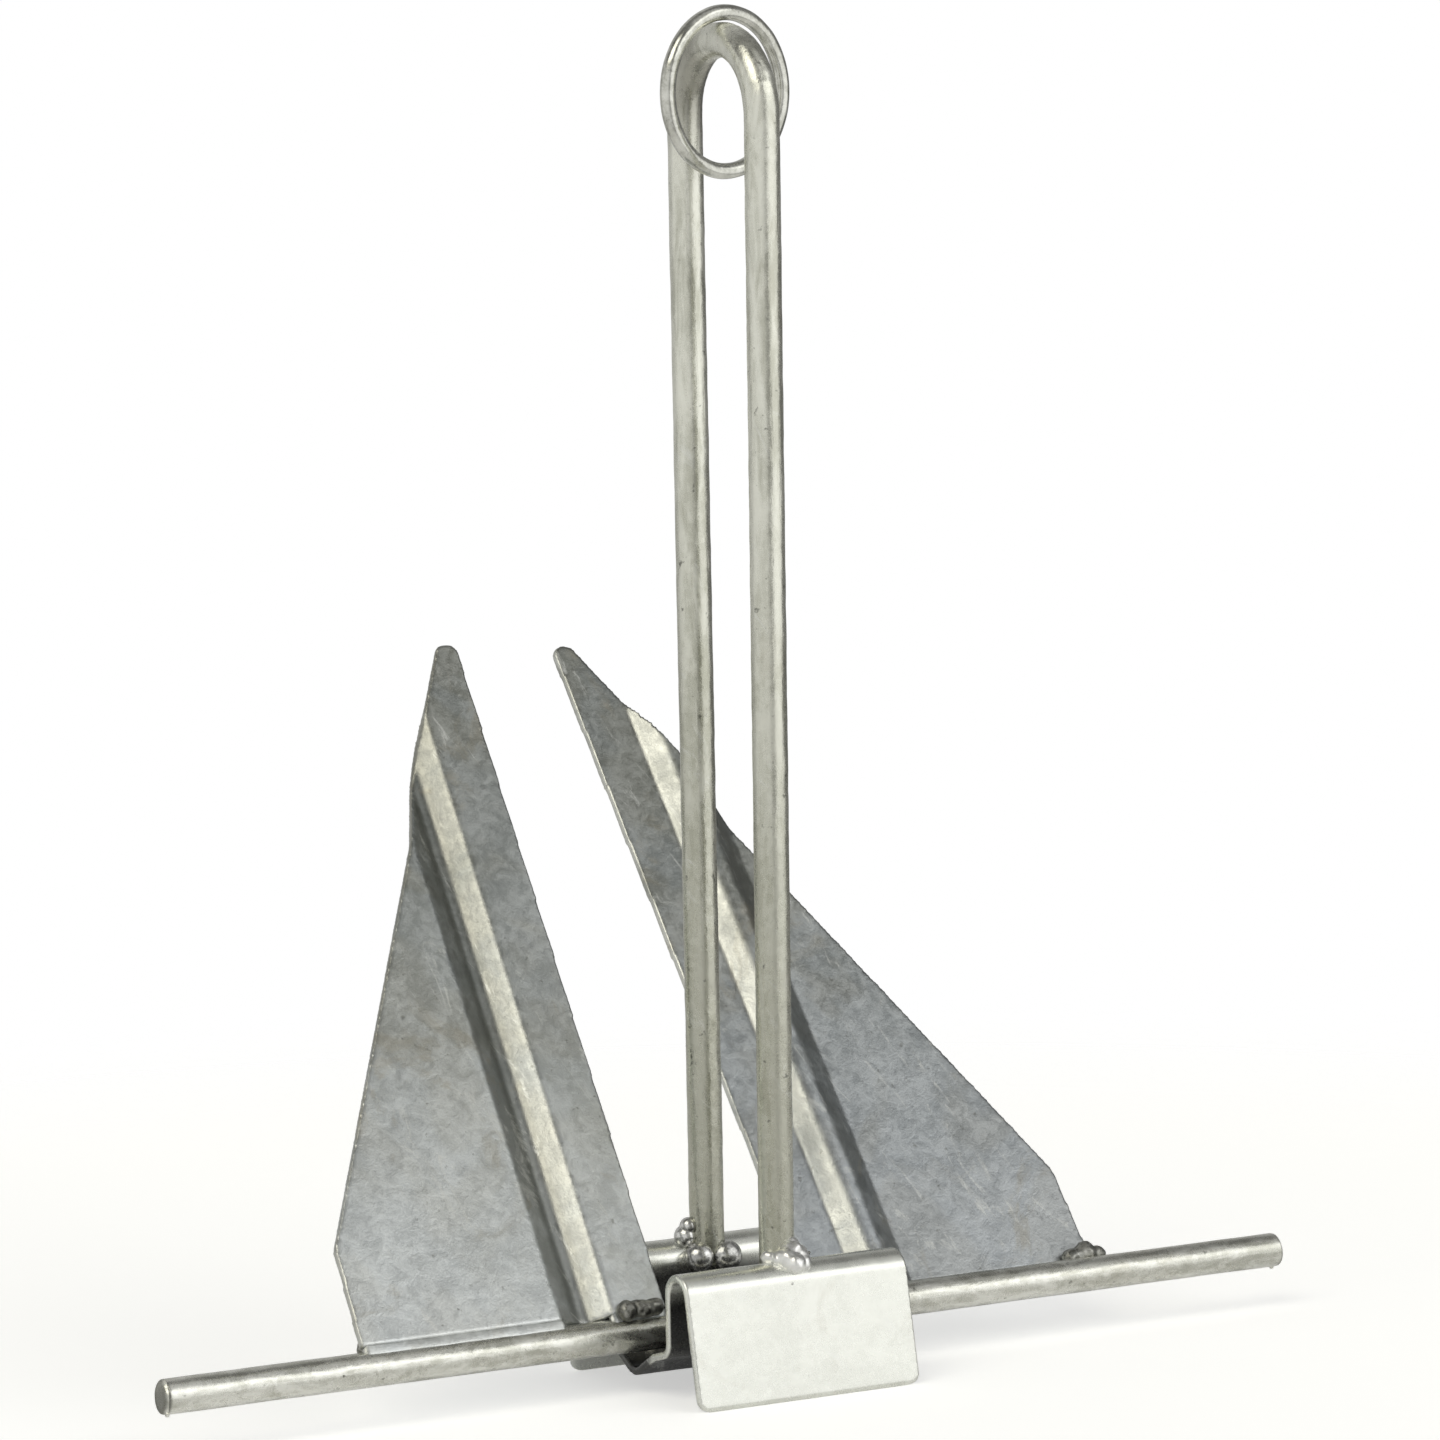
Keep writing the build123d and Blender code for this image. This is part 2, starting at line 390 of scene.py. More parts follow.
# Regions painted darker, as (axis, side, full at, none at): painted shade at the back of the bend,
# inside the crown and at the trough's bottom, and the stock's darker sheared faces.
BEND_BACK_SHADE = (("Y", 1, 12 * MM, 3 * MM), ("Z", 0, 462 * MM, 436 * MM))
SHEARED_FACES = (("X", 0, 234.2 * MM, 232.8 * MM),)
CROWN_INSIDE_SHADE = (("X", 0, 45.0 * MM, 45.9 * MM), ("Y", 0, 27.5 * MM, 30.5 * MM),
                ("Z", 0, 34 * MM, 42 * MM))
TROUGH_BOTTOM_SHADE = (("Y", 0, 10 * MM, 14 * MM), ("Z", 0, 16 * MM, 24 * MM))

FLUKE_LOOK = {
    "dark": colour(0.17, 0.185, 0.18), "light": colour(0.68, 0.705, 0.705),
    "mottle": 6 * MM, "contrast": 0.11, "grit": 1.5, "tinge": 0.26,
    "smears": 0.6, "stains": 0.4, "gloss": (0.30, 0.48), "relief": 0.16 * MM,
}
# Painted shade on the rib slopes that face right.
RIGHT_SLOPE_SHADE = (1, colour(0.13, 0.135, 0.12), 0.6)      # the rib slopes that face right


def bar_materials():
    return {
        # Painted highlight towards the top (high) and painted shade towards the floor (low);
        # painted shade at the back of the bend.
        "shank": zinc(
            "zinc_shank", dark=colour(0.40, 0.40, 0.32), light=colour(0.80, 0.80, 0.71),
            low=colour(0.48, 0.48, 0.41), high=colour(0.93, 0.93, 0.85), fade=(0.10, 0.40),
            fade_share=0.8, evenness=0.45, stretch=(1, 1, 0.2), contrast=0.13, smears=0.35,
            specks=0.8, gloss=(0.20, 0.36), relief=0.18 * MM,
            shades=[(colour(0.17, 0.16, 0.13), 0.6, *BEND_BACK_SHADE)]),
        "stock": zinc(
            "zinc_stock", dark=colour(0.55, 0.55, 0.49), light=colour(0.93, 0.93, 0.88),
            stretch=(0.35, 1, 1), contrast=0.12, stains=0.15, specks=0.6,
            gloss=(0.20, 0.36), relief=0.12 * MM,
            shades=[(colour(0.20, 0.20, 0.18), 0.92, *SHEARED_FACES)]),
        "ring": zinc(
            "zinc_ring", dark=colour(0.50, 0.50, 0.45), light=colour(0.83, 0.83, 0.78),
            blotch=12 * MM, mottle=4 * MM, contrast=0.14, smears=0.2, stains=0.2,
            gloss=(0.15, 0.27), relief=0.02 * MM),
    }


def sheet_materials():
    return {
        "plate": zinc(
            "zinc_plate", dark=colour(0.80, 0.81, 0.76), light=colour(0.90, 0.91, 0.86),
            stain=colour(0.70, 0.69, 0.63), mottle=11 * MM, contrast=0.13, grit=0.3, stains=0.4,
            specks=0.12, gloss=(0.22, 0.34), relief=0.02 * MM,
            # painted shade inside the crown and at the trough's bottom
            shades=[(colour(0.05, 0.05, 0.055), 0.92, *CROWN_INSIDE_SHADE),
                    (colour(0.07, 0.07, 0.07), 0.92, *TROUGH_BOTTOM_SHADE)]),
        "right_fluke": zinc(
            "zinc_right_fluke", low=colour(0.57, 0.60, 0.63), high=colour(0.28, 0.29, 0.265),
            # painted highlight on the rib slopes that face left
            fade=(0.03, 0.22), slopes=[(-1, colour(0.86, 0.86, 0.80), 0.7), RIGHT_SLOPE_SHADE],
            **FLUKE_LOOK),
        "left_fluke": zinc(
            "zinc_left_fluke", low=colour(0.93, 0.96, 0.96), high=colour(0.32, 0.33, 0.30),
            # painted shade at the bottom of the pressed rib
            fade=(0.04, 0.26), groove=colour(0.14, 0.145, 0.13),
            # painted highlight on the rib slopes that face left
            slopes=[(-1, colour(0.52, 0.51, 0.45), 0.6), RIGHT_SLOPE_SHADE], **FLUKE_LOOK),
    }


def weld_materials():
    return {
        "bright_weld": zinc(
            "zinc_bright_weld", dark=colour(0.80, 0.80, 0.79), light=colour(0.95, 0.95, 0.94),
            blotch=6 * MM, mottle=3 * MM, specks=0.3, gloss=(0.26, 0.40), relief=0.04 * MM),
        "weld": zinc(
            "zinc_weld", dark=colour(0.42, 0.42, 0.41), light=colour(0.84, 0.84, 0.83),
            blotch=6 * MM, mottle=3 * MM, gloss=(0.16, 0.30), relief=0.03 * MM),
        "dull_weld": zinc(
            "zinc_dull_weld", dark=colour(0.15, 0.15, 0.135), light=colour(0.46, 0.46, 0.43),
            blotch=6 * MM, mottle=2.5 * MM, gloss=(0.30, 0.46), relief=0.06 * MM),
    }


# ---------------------------------------------------------------- surfaces

FINE_LUMPS = 8 * MM                  # lumps smaller than this are plain swells with no detail

# How finely each kind of surface is meshed, how much its edges are rounded, how high and how large
# its lumps are, and how far it grows outwards.
SHEET = {"voxel": 0.8 * MM, "soften": 2, "lump": 0.22 * MM, "lump_size": 14 * MM}
STAMPING = {"voxel": 0.85 * MM, "soften": 5, "lump": 0.26 * MM, "lump_size": 16 * MM}
BAR = {"voxel": 0.7 * MM, "soften": 2, "lump": 0.34 * MM, "lump_size": 9 * MM}
WIRE = {"voxel": 0.45 * MM, "soften": 2, "lump": 0.14 * MM, "lump_size": 6 * MM}
BEAD = {"voxel": 0.4 * MM, "soften": 8, "lump": 0.8 * MM, "lump_size": 7 * MM, "grow": 0.7 * MM}
MOUND = {"voxel": 0.35 * MM, "soften": 24, "lump": 0.5 * MM, "lump_size": 4 * MM, "grow": 0.5 * MM}
LUMP = {"voxel": 0.35 * MM, "soften": 20, "lump": 0.6 * MM, "lump_size": 5 * MM, "grow": 0.7 * MM}

# Each CAD node that shows: its material, its slot in the record and its surface.
NODE_LOOKS = {
    "shank": ("shank", "galvanised_bar", BAR),
    "crown_plate": ("plate", "galvanised_plate", SHEET),
    "right_fluke": ("right_fluke", "galvanised_fluke", STAMPING),
    "left_fluke": ("left_fluke", "galvanised_fluke", STAMPING),
    "slip_ring": ("ring", "galvanised_ring", WIRE),
    "ring_weld": ("ring", "galvanised_ring", BEAD),
    "far_leg_welds": ("weld", "weld_metal", BEAD),
}


def cloud_texture(size):
    texture = bpy.data.textures.new("lumps", "CLOUDS")
    texture.noise_scale = size
    texture.noise_depth = 0 if size < FINE_LUMPS else 2
    return texture


def coat(piece, voxel, soften, lump, lump_size, grow=0.0):
    """Rounds a piece's edges, grows it outwards and makes its surface uneven, as zinc does."""
    remesh = piece.modifiers.new("even_mesh", "REMESH")
    remesh.mode = "VOXEL"
    remesh.voxel_size = voxel
    remesh.use_smooth_shade = True
    smooth = piece.modifiers.new("round_edges", "SMOOTH")
    smooth.factor = 0.5
    smooth.iterations = soften
    lumps = piece.modifiers.new("zinc_lumps", "DISPLACE")
    lumps.texture = cloud_texture(lump_size)
    lumps.texture_coords = "LOCAL"
    lumps.strength = lump
    lumps.mid_level = 0.5 - grow / lump


def finish_piece(piece, material):
    piece.data.materials.clear()
    piece.data.materials.append(material)


def dress_nodes(materials):
    """Gives each CAD node its rounded, uneven zinc skin and its material."""
    for name, (material, slot, surface) in NODE_LOOKS.items():
        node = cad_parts[name]
        coat(node, **surface)
        finish_piece(node, materials[material])


# ---------------------------------------------------------------- mesh helpers

def finished_mesh(shape, name):
    """Turns a bmesh into a mesh, and frees the bmesh."""
    mesh = bpy.data.meshes.new(name)
    shape.to_mesh(mesh)
    shape.free()
    return mesh


def new_piece(name, mesh, body, material):
    mesh.polygons.foreach_set("use_smooth", [True] * len(mesh.polygons))
    piece = bpy.data.objects.new(name, mesh)
    bpy.context.scene.collection.objects.link(piece)
    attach(piece, body)
    finish_piece(piece, material)
    return piece


def angles_round(sides):
    return [2 * math.pi * side / sides for side in range(sides)]


def add_tube(shape, rings):
    """Joins rings of points, all with as many points, into a tube with capped ends."""
    rings = [[shape.verts.new(point) for point in ring] for ring in rings]
    sides = len(rings[0])
    for before, after in zip(rings, rings[1:]):
        for side in range(sides):
            next_side = (side + 1) % sides
            shape.faces.new((before[side], before[next_side], after[next_side], after[side]))
    shape.faces.new(reversed(rings[0]))
    shape.faces.new(rings[-1])


BLOB_UNEVENNESS = 0.22               # share of the radius
BLOB_WAVE = 1.6                      # how quickly the unevenness changes over a ball
BLOB_SPREAD = 900                    # how quickly it changes from place to place
DRIP_NARROWING = 0.4


def add_blob(shape, centre, radius, drawn=0.0):
    """One lump of zinc: a ball made uneven, with its top drawn out into a neck for a drip."""
    made = bmesh.ops.create_icosphere(shape, subdivisions=3, radius=1.0)
    for vert in made["verts"]:
        place = vert.co.copy()
        place *= 1 + BLOB_UNEVENNESS * noise.noise(place * BLOB_WAVE + centre * BLOB_SPREAD)
        if place.z > 0:
            place.x *= 1 - DRIP_NARROWING * drawn * place.z
            place.y *= 1 - DRIP_NARROWING * drawn * place.z
            place.z *= 1 + drawn
        vert.co = centre + place * radius


def blobs_piece(name, blobs, body, material):
    """One piece from a list of (centre, radius, how far its top is drawn out)."""
    shape = bmesh.new()
    for centre, radius, drawn in blobs:
        add_blob(shape, centre, radius, drawn)
    return new_piece(name, finished_mesh(shape, name), body, material)


def islands(name):
    """The (lowest, highest) corner of each separate solid in a CAD node."""
    shape = bmesh.new()
    shape.from_mesh(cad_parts[name].data)
    bmesh.ops.remove_doubles(shape, verts=shape.verts, dist=MM / 1000)
    shape.verts.index_update()
    left = set(shape.verts)
    found = []
    for start in shape.verts:
        if start not in left:
            continue
        left.discard(start)
        group = [start]
        for vert in group:
            for edge in vert.link_edges:
                other = edge.other_vert(vert)
                if other in left:
                    left.discard(other)
                    group.append(other)
        low, high = ([pick(vert.co[axis] for vert in group) for axis in range(3)]
                     for pick in (min, max))
        found.append((Vector(low), Vector(high)))
    shape.free()
    return found


def surface_tree(name):
    """A tree that finds the nearest point on a CAD node's own surface."""
    shape = bmesh.new()
    shape.from_mesh(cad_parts[name].data)
    tree = BVHTree.FromBMesh(shape)
    shape.free()
    return tree


# ---------------------------------------------------------------- the stock

BAR_SIDES = 48
BAR_STEP = 1.4 * MM                  # between rings along the bar
BAR_RIM = 0.9 * MM                   # radius of the rounded edge of an end
BAR_END_DISH = 0.25 * MM             # how far an end's face lies inside the rim
END_RING_SHARES = (0.10, 0.20, 0.30, 0.40, 0.50, 0.60, 0.70, 0.78)   # of the bar's radius
BAR_SWELL = 0.13 * MM
SWELL_ALONG = 55                     # how quickly the swells change along the bar
SWELL_ROUND = 1.1                    # and round it
PRESSED_LENGTH = 4 * MM              # the stretch from an end in which the pressing fades out
SHEAR_SLANT = 0.9 * MM
SHEAR_TWIST = 0.4                    # how much the slant runs along Y too
NICK_DEPTH = 2.4 * MM
# The nick is a stretch of an arc, in shares of the bar's radius.
NICK_CENTRE_Y, NICK_CENTRE_Z = 0.35, -0.10
NICK_ARC = 0.98
NICK_WIDTH = 0.17
NICK_END_Y = -0.2                    # the nick fades out from here on
NICK_FADE = 0.18


def bar_profile():
    """(distance from the middle, radius) from one end's centre to its rim, then along the bar."""
    profile = [(STOCK_HALF_LENGTH - BAR_END_DISH, STOCK_RADIUS * share)
               for share in END_RING_SHARES]
    for turn in range(0, 91, 15):
        angle = math.radians(turn)
        profile.append((STOCK_HALF_LENGTH - BAR_RIM * (1 - math.cos(angle)),
                        STOCK_RADIUS - BAR_RIM * (1 - math.sin(angle))))
    place = STOCK_HALF_LENGTH - BAR_RIM - BAR_STEP
    while place > BAR_STEP:
        profile.append((place, STOCK_RADIUS))
        place -= BAR_STEP
    return profile


def sheared_end(y, z):
    """How far shears have pressed an end's face in at (y, z): a slanted face with a curved nick."""
    radius = STOCK_RADIUS
    slant = SHEAR_SLANT * (0.5 + 0.5 * (z + SHEAR_TWIST * y) / radius)
    reach = math.hypot(y - NICK_CENTRE_Y * radius, z - NICK_CENTRE_Z * radius)
    nick = NICK_DEPTH * math.exp(-((reach - NICK_ARC * radius) / (NICK_WIDTH * radius)) ** 2)
    if y > NICK_END_Y * radius:
        nick *= math.exp(-((y / radius - NICK_END_Y) / NICK_FADE) ** 2)
    return slant + nick


def bar_point(place, radius, angle):
    """The point of the bar's uneven surface at a place along it and an angle round it."""
    swell = noise.noise(Vector((place * SWELL_ALONG, math.cos(angle) * SWELL_ROUND,
                                math.sin(angle) * SWELL_ROUND)))
    swollen = radius + BAR_SWELL * (swell - 0.5) * radius / STOCK_RADIUS
    y, z = swollen * math.cos(angle), swollen * math.sin(angle)
    depth = max(0.0, 1 - (STOCK_HALF_LENGTH - abs(place)) / PRESSED_LENGTH)
    pressed = depth * sheared_end(y * (1 if place < 0 else -1), z)
    return STOCK_MIDDLE + Vector((place - math.copysign(pressed, place), y, z))


def make_stock_bar(material):
    """The stock as a sheared bar: slightly uneven all along, with pressed and nicked ends."""
    near_half = bar_profile()
    profile = [(-place, radius) for place, radius in near_half]
    profile += [(place, radius) for place, radius in reversed(near_half)]
    shape = bmesh.new()
    add_tube(shape, [[bar_point(place, radius, angle) for angle in angles_round(BAR_SIDES)]
                     for place, radius in profile])
    bmesh.ops.recalc_face_normals(shape, faces=shape.faces)
    mesh = finished_mesh(shape, "stock_bar")
    bar = new_piece("stock_bar", mesh, FLUKE_BODY, material)
    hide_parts("stock_rod")


# ---------------------------------------------------------------- welds

WELD_BALLS = 6                       # in each mound
# Balls of the near leg's weld: place as shares of the CAD weld's box, and radius in millimetres.
LEG_WELD_BALLS = (
    (0.73, 0.58, 0.53, 4.2),
    (0.55, 0.28, 0.34, 3.7),
    (0.45, 0.45, 0.48, 3.8),
    (0.62, 0.55, 0.72, 3.6),
    (0.80, 0.42, 0.30, 3.4),
    (0.68, 0.75, 0.90, 3.0),
    (0.32, 0.62, 0.42, 2.8),
    (0.16, 0.83, 0.52, 2.4),
)
# The share of each CAD bead's length that its mound fills, from its low X end.
FLUKE_WELD_SPANS = {
    "right_fluke_inner_weld": (0.0, 1.0),
    "right_fluke_outer_weld": (0.0, 1.0),
    "left_fluke_inner_weld": (0.0, 1.0),
    "left_fluke_outer_weld": (0.45, 1.0),
}


def mound_blobs(name, start, end):
    """A row of balls of random size along a share of a CAD bead."""
    dice = random.Random(name)
    low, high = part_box(name)
    half_height = (high.z - low.z) / 2
    blobs = []
    for step in range(WELD_BALLS):
        share = start + (end - start) * step / (WELD_BALLS - 1)
        radius = half_height * dice.uniform(0.70, 0.98)
        x = low.x + radius + share * (high.x - low.x - 2 * radius)
        y = (low.y + high.y) / 2 + dice.uniform(-0.2, 0.2) * radius
        z = (low.z + high.z) / 2 + dice.uniform(-0.2, 0.2) * radius
        blobs.append((Vector((x, y, z)), radius, 0.0))
    return blobs


def make_fluke_welds(material):
    """Low, lumpy mounds of weld metal in the places of the CAD's four beads on the flukes."""
    for name, (start, end) in FLUKE_WELD_SPANS.items():
        blobs = mound_blobs(name, start, end)
        weld = blobs_piece(name.replace("weld", "mound"), blobs, FLUKE_BODY, material)
        coat(weld, **MOUND)
        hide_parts(name)


def make_leg_weld(material):
    """The near leg's weld as one run-together lump in place of the CAD's balls."""
    low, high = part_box("near_leg_welds")
    size = high - low
    blobs = [(low + Vector((size.x * x, size.y * y, size.z * z)), radius * MM, 0.0)
             for x, y, z, radius in LEG_WELD_BALLS]
    weld = blobs_piece("near_leg_lump", blobs, SHANK_BODY, material)
    coat(weld, **LUMP)
    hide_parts("near_leg_welds")


# ---------------------------------------------------------------- seams under the flukes

FOOT_HEIGHT = 6.6 * MM               # from the stock's axis up to the flukes' foot edges
FOOT_TOLERANCE = 0.2 * MM            # how far from that height still counts as a flat foot edge
FOOT_STEP = 0.8 * MM                 # between rings along a seam
PANEL_OFFSET = 4.2 * MM              # from the stock's axis to the middle of a fluke's thickness
SEAM_SIDES = 20
SEAM_DROP = 1.5 * MM                 # from the foot edge down to the seam's middle
SEAM_HALF_WIDTH = 1.3 * MM
SEAM_HALF_HEIGHT = 2.2 * MM
SEAM_SQUARENESS = 0.45               # 1 is round, and less is squarer
SEAM_UNEVENNESS = 0.10               # share of the width and height
SEAM_WAVE = 90                       # how quickly it changes along the seam


def foot_runs(fluke, axis, up, offset):
    """The (from, to) X of each stretch where a fluke's flat foot edge stands over the stock."""
    tree = surface_tree(fluke)
    low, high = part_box(fluke)
    runs = []
    x = low[0] + FOOT_STEP
    while x < high[0]:
        start = axis + offset + Vector((x - axis.x, 0, 0))
        _, _, _, distance = tree.ray_cast(start, up)
        if distance is not None and abs(distance - FOOT_HEIGHT) < FOOT_TOLERANCE:
            if runs and x - runs[-1][1] < 1.5 * FOOT_STEP:
                runs[-1][1] = x
            else:
                runs.append([x, x])
        x += FOOT_STEP
    return runs


def squared(wave):
    """Turns a circle's sine or cosine into that of a square with rounded corners."""
    return math.copysign(abs(wave) ** SEAM_SQUARENESS, wave)


def seam_ring(x, narrow, centre, up, out):
    """The points round an uneven seam at one place along it."""
    ring = []
    for angle in angles_round(SEAM_SIDES):
        where = Vector((x * SEAM_WAVE, math.cos(angle), math.sin(angle)))
        lump = 1 + SEAM_UNEVENNESS * noise.noise(where)
        across = SEAM_HALF_WIDTH * narrow * lump * squared(math.cos(angle))
        along = SEAM_HALF_HEIGHT * narrow * lump * squared(math.sin(angle))
        place = centre + out * across + up * along
        ring.append((x, place.y, place.z))
    return ring


def add_seam(shape, start, end, centre, up, out):
    """A thin, uneven web along X, from start to end, whose middle is at centre."""
    steps = round((end - start) / FOOT_STEP)
    rings = []
    for step in range(steps + 1):
        narrow = min(1.0, 0.4 + 0.3 * min(step, steps - step))      # towards the two ends
        rings.append(seam_ring(start + step * FOOT_STEP, narrow, centre, up, out))
    add_tube(shape, rings)


def make_foot_seams(material):
    """Zinc that bridges the gap between each fluke's flat foot edges and the stock."""
    up = Vector((0, math.sin(FLUKE_LEAN), math.cos(FLUKE_LEAN)))
    out = Vector((0, -math.cos(FLUKE_LEAN), math.sin(FLUKE_LEAN)))
    shape = bmesh.new()
    for fluke, side in (("right_fluke", -1), ("left_fluke", 1)):
        offset = out * side * PANEL_OFFSET
        centre = STOCK_MIDDLE + offset + up * (FOOT_HEIGHT - SEAM_DROP)
        for start, end in foot_runs(fluke, STOCK_MIDDLE, up, offset):
            add_seam(shape, start, end, centre, up, out)
    bmesh.ops.recalc_face_normals(shape, faces=shape.faces)
    mesh = finished_mesh(shape, "foot_seams")
    new_piece("foot_seams", mesh, FLUKE_BODY, material)


# ---------------------------------------------------------------- spatter and drips

SPATTER_SIZES = (0.35, 0.45, 0.6)    # radii in millimetres
SPATTER_RANGE = 5 * MM               # a ball thrown further than this from all hosts is left out
SPATTER_LOWEST_TILT = -0.2           # and so is one on a surface that faces down more than this
SPATTER_RISE = 0.2                   # share of its radius that a ball's centre stands out
DRIP_HEIGHT = 40 * MM                # balls of the far leg's weld that reach below this have drips
FOOT_DRIP_INSET = 1.3 * MM           # from a palm's outer face in to its row of drips
FOOT_DRIP_SHARES = (0.10, 0.22, 0.30, 0.44, 0.57, 0.63, 0.75, 0.86, 0.93)   # of a palm's width


def spatter(welds, hosts, count, reach, seed):
    """Small balls of weld spatter, sunk into the surfaces of the hosts near the welds."""
    dice = random.Random(seed)
    trees = [surface_tree(host) for host in hosts]
    blobs = []
    for weld in welds:
        for low, high in islands(weld):
            middle = (low + high) / 2
            for _ in range(count):
                aim = Vector((dice.gauss(0, 1), dice.gauss(0, 1), dice.gauss(0, 1))).normalized()
                probe = middle + aim * ((high - low).length / 2 + dice.uniform(0.2, 1.0) * reach)
                radius = dice.choice(SPATTER_SIZES) * MM
                place, normal, _, away = min((tree.find_nearest(probe) for tree in trees),
                                             key=lambda hit: hit[3])
                if away < SPATTER_RANGE and normal.z > SPATTER_LOWEST_TILT:
                    blobs.append((place + normal * radius * SPATTER_RISE, radius, 0.0))
    return blobs


def bead_drips():
    """The drips that hang under the lower balls of the far leg's weld."""
    drips = []
    for low, high in islands("far_leg_welds"):
        if low.z < DRIP_HEIGHT:
            middle = (low + high) / 2
            hanging = Vector((middle.x + 0.4 * MM, middle.y - 0.8 * MM, low.z - 1.9 * MM))
            drips.append((hanging, 1.15 * MM, 1.6))
    return drips


def foot_drips(seed):
    """The row of zinc drips along the foot edge of each palm."""
    dice = random.Random(seed)
    low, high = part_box("crown_plate")
    drips = []
    for face_y in (low[1], high[1]):
        inwards = -1 if face_y > 0 else 1
        for share in FOOT_DRIP_SHARES:
            radius = dice.uniform(0.55, 0.95) * MM
            x = low[0] + share * (high[0] - low[0]) + dice.uniform(-1.5, 1.5) * MM
            y = face_y + inwards * (FOOT_DRIP_INSET - 0.4 * radius)
            drips.append((Vector((x, y, radius)), radius, dice.uniform(0.6, 1.8)))
    return drips


def end_drips():
    """The last drop of zinc under each sheared end of the stock."""
    middle_y = (STOCK_LOW[1] + STOCK_HIGH[1]) / 2
    return [(Vector((x, middle_y - 0.6 * MM, STOCK_LOW[2] + 0.1 * MM)), 0.9 * MM, 0.6)
            for x in (STOCK_LOW[0] + 2.2 * MM, STOCK_HIGH[0] - 2.4 * MM)]


def make_small_pieces(materials):
    weld = materials["weld"]
    on_crown = spatter(("near_leg_welds", "far_leg_welds"), ("shank", "crown_plate"),
                       count=3, reach=12 * MM, seed=4)
    on_flukes = spatter(FLUKE_WELD_SPANS, ("right_fluke", "left_fluke", "stock_rod"),
                        count=6, reach=14 * MM, seed=11)
    blobs_piece("crown_spatter", on_crown, SHANK_BODY, weld)
    blobs_piece("fluke_spatter", on_flukes, FLUKE_BODY, materials["dull_weld"])
    blobs_piece("bead_drips", bead_drips(), SHANK_BODY, weld)
    blobs_piece("palm_foot_drips", foot_drips(seed=7), SHANK_BODY, materials["plate"])
    blobs_piece("stock_end_drips", end_drips(), FLUKE_BODY, materials["stock"])


# ---------------------------------------------------------------- camera

CAMERA_AZIMUTH = math.radians(31)     # to the left of straight ahead
CAMERA_HEIGHT_ANGLE = math.radians(6.96)
CAMERA_ROLL = math.radians(-0.95)
CAMERA_DISTANCE = 2.6574
CAMERA_AIM = Vector((0, 0, 0.2177))
CAMERA_LENS = 185.7
CAMERA_SENSOR = 36
CAMERA_SHIFT = (-0.0096, 0.0411)
CAMERA_CLIP = (0.05, 200)


def make_camera():
    across = Vector((math.cos(CAMERA_AZIMUTH), -math.sin(CAMERA_AZIMUTH), 0))
    ahead = Vector((math.sin(CAMERA_AZIMUTH) * math.cos(CAMERA_HEIGHT_ANGLE),
                    math.cos(CAMERA_AZIMUTH) * math.cos(CAMERA_HEIGHT_ANGLE),
                    -math.sin(CAMERA_HEIGHT_ANGLE)))
    level_up = across.cross(ahead)
    right = across * math.cos(CAMERA_ROLL) + level_up * math.sin(CAMERA_ROLL)
    up = right.cross(ahead)
    data = bpy.data.cameras.new("camera")
    data.sensor_width = CAMERA_SENSOR
    data.lens = CAMERA_LENS
    data.shift_x, data.shift_y = CAMERA_SHIFT
    data.clip_start, data.clip_end = CAMERA_CLIP
    camera = bpy.data.objects.new("camera", data)
    camera.matrix_world = Matrix.Translation(CAMERA_AIM - ahead * CAMERA_DISTANCE) @ Matrix(
        (right, up, -ahead)).transposed().to_4x4()
    bpy.context.scene.collection.objects.link(camera)
    bpy.context.scene.camera = camera


# ---------------------------------------------------------------- studio

AMBIENT = 0.15
PLAIN_LIGHT = colour(1.0, 1.0, 0.975)
WARM_LIGHT = colour(1.0, 0.975, 0.86)
WHITE = colour(1.0, 1.0, 1.0)
# Soft light panels round the object, in degrees: turned from straight in front towards the right,
# and raised above the floor's level, each as (from, to, width of the soft edge); then the strength
# and the colour.
LIGHT_PANELS = (
    ((2, 68, 22), (-30, 40, 12), 0.92, PLAIN_LIGHT),       # right front
    ((0, 66, 14), (20, 42, 8), 0.60, PLAIN_LIGHT),         # right front, upper part
    ((-92, -34, 9), (32, 66, 8), 2.05, WARM_LIGHT),        # left, high
    ((-140, -16, 40), (-30, 26, 12), 0.56, PLAIN_LIGHT),   # left, low
    ((20, 80, 20), (44, 78, 8), 0.30, PLAIN_LIGHT),        # overhead front
    ((138, 230, 24), (-30, 60, 20), 0.32, PLAIN_LIGHT),    # behind, right half
    ((-230, -146, 24), (-30, 60, 20), 0.32, PLAIN_LIGHT),  # behind, left half
)

FLOOR_RADIUS = 0.95
FLOOR_SIDES = 96
FLOOR_FADE = (0.50, 0.90)             # where the floor starts and ends to give way to the white
FLOOR_GLOW = 0.10                     # light that the floor adds of its own
FLOOR_PALENESS = 0.40                 # more of it for the eye only, which keeps the floor pale


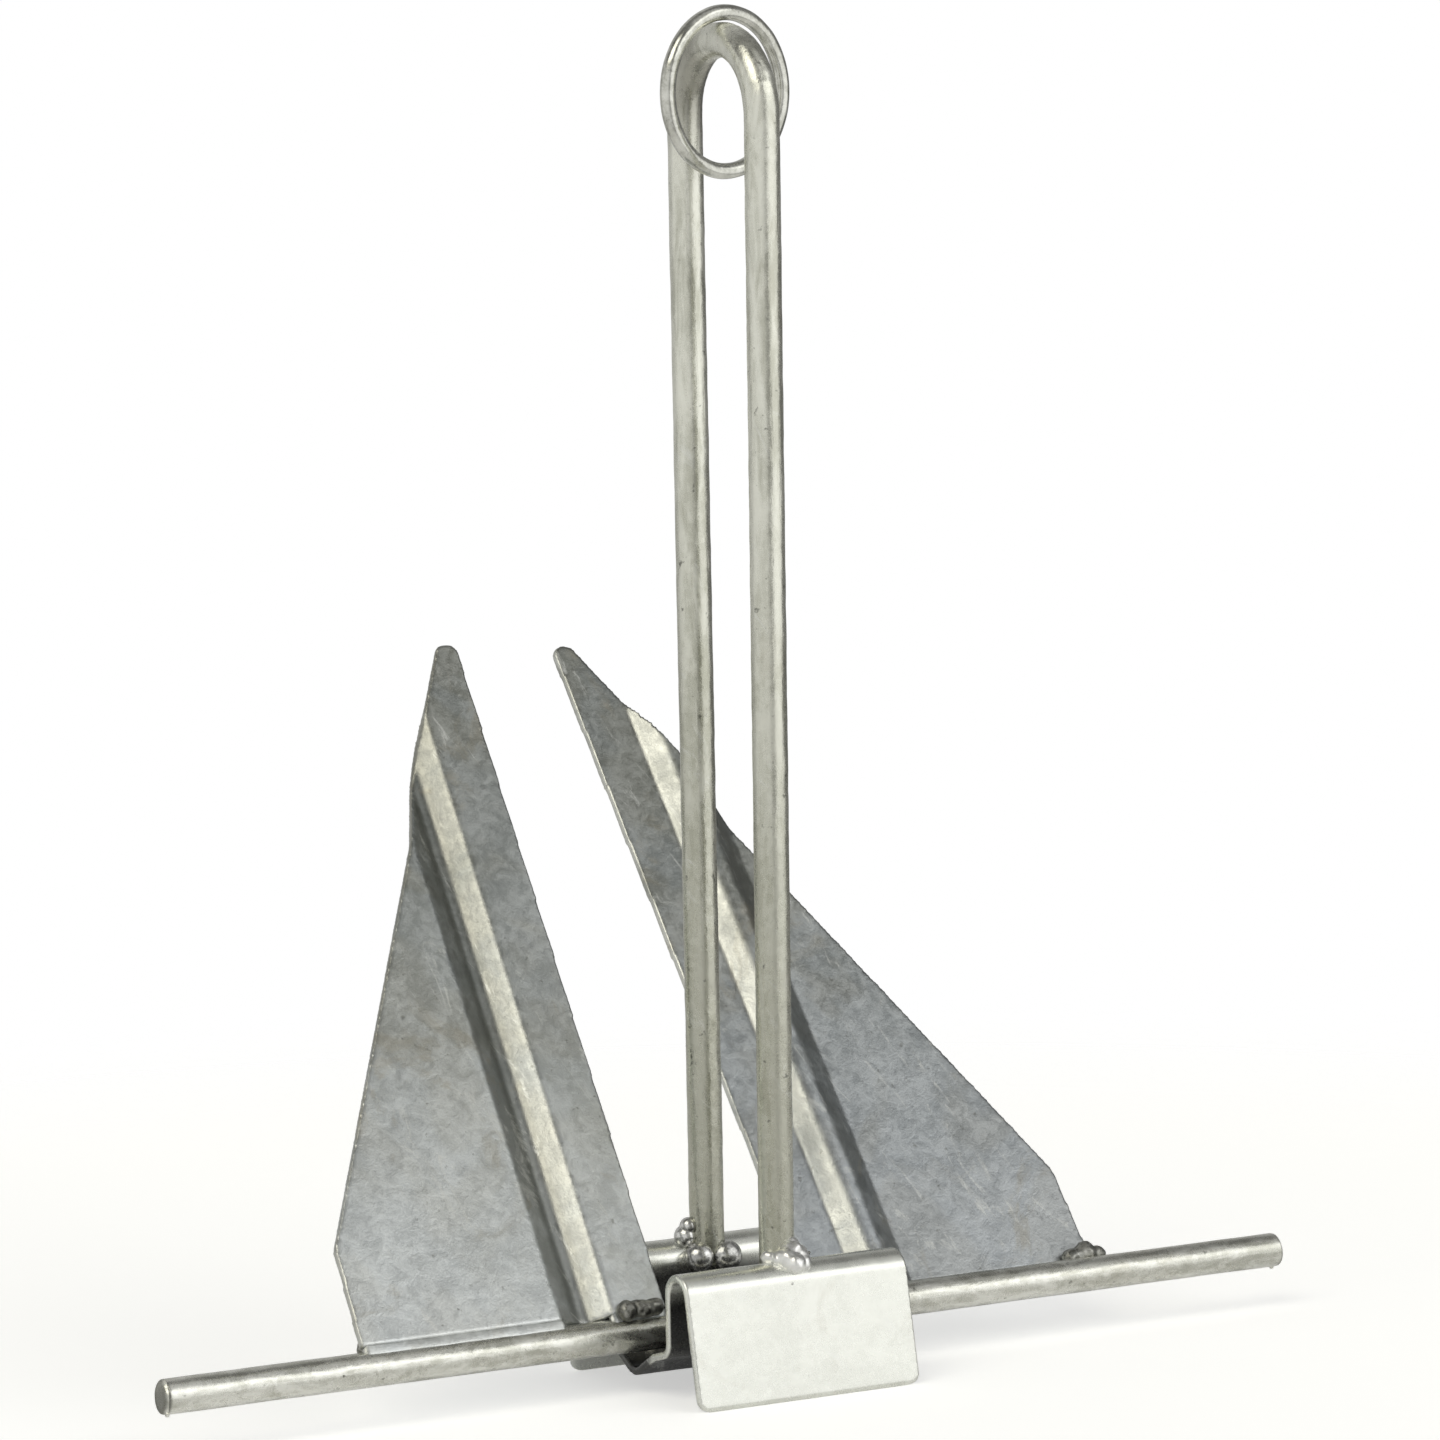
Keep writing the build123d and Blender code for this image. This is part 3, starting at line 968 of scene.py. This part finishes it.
def make_world():
    """A dim surround with soft light panels.  The camera sees plain white in their place."""
    world = bpy.data.worlds.new("studio")
    world.use_nodes = True
    bpy.context.scene.world = world
    n = Nodes(world.node_tree)
    split = n.add("ShaderNodeSeparateXYZ")
    n.link(n.add("ShaderNodeTexCoord").outputs["Generated"], split.inputs[0])
    turn = n.math("ARCTAN2", split.outputs["X"], n.math("MULTIPLY", split.outputs["Y"], -1.0))
    rise = n.math("ARCSINE", split.outputs["Z"])
    surround = n.glow(PLAIN_LIGHT, AMBIENT)
    for turns, rises, strength, tint in LIGHT_PANELS:
        panel = n.math("MULTIPLY", n.within(turn, *turns), n.within(rise, *rises))
        both = n.add("ShaderNodeAddShader")
        n.link(surround, both.inputs[0])
        n.link(n.glow(tint, n.math("MULTIPLY", panel, strength)), both.inputs[1])
        surround = both.outputs[0]
    seen = n.add("ShaderNodeLightPath").outputs["Is Camera Ray"]
    n.end_with("ShaderNodeOutputWorld", n.mix_shaders(seen, surround, n.glow(WHITE, 1.0)))


def floor_material():
    """Pale and dull, and clear at its rim, so that the floor has no edge."""
    material = bpy.data.materials.new("pale_floor")
    material.use_nodes = True
    n = Nodes(material.node_tree)
    shader = n.add("ShaderNodeBsdfPrincipled")
    shader.inputs["Base Color"].default_value = colour(0.92, 0.92, 0.915)
    shader.inputs["Roughness"].default_value = 0.9
    shader.inputs["Specular IOR Level"].default_value = 0.1
    shader.inputs["Emission Color"].default_value = colour(1.0, 1.0, 0.995)
    seen = n.add("ShaderNodeLightPath").outputs["Is Camera Ray"]
    shining = n.math("ADD", n.math("MULTIPLY", seen, FLOOR_PALENESS), FLOOR_GLOW)
    n.link(shining, shader.inputs["Emission Strength"])
    clear = n.add("ShaderNodeBsdfTransparent")
    distance = n.add("ShaderNodeVectorMath", operation="LENGTH")
    n.link(n.place(), distance.inputs[0])
    fading = n.span(distance.outputs["Value"], *FLOOR_FADE)
    faded = n.mix_shaders(fading, shader.outputs[0], clear.outputs[0])
    n.end_with("ShaderNodeOutputMaterial", faded)
    return material


def make_floor():
    shape = bmesh.new()
    bmesh.ops.create_circle(shape, cap_ends=True, segments=FLOOR_SIDES, radius=FLOOR_RADIUS)
    floor = bpy.data.objects.new("floor", finished_mesh(shape, "floor"))
    floor.data.materials.append(floor_material())
    bpy.context.scene.collection.objects.link(floor)


def make_studio():
    make_camera()
    make_world()
    make_floor()
    bpy.context.scene.view_settings.view_transform = "Standard"


# ---------------------------------------------------------------- the scene

make_studio()
materials = {**bar_materials(), **sheet_materials(), **weld_materials()}
dress_nodes(materials)
make_stock_bar(materials["stock"])
make_fluke_welds(materials["dull_weld"])
make_leg_weld(materials["bright_weld"])
make_foot_seams(materials["left_fluke"])
make_small_pieces(materials)
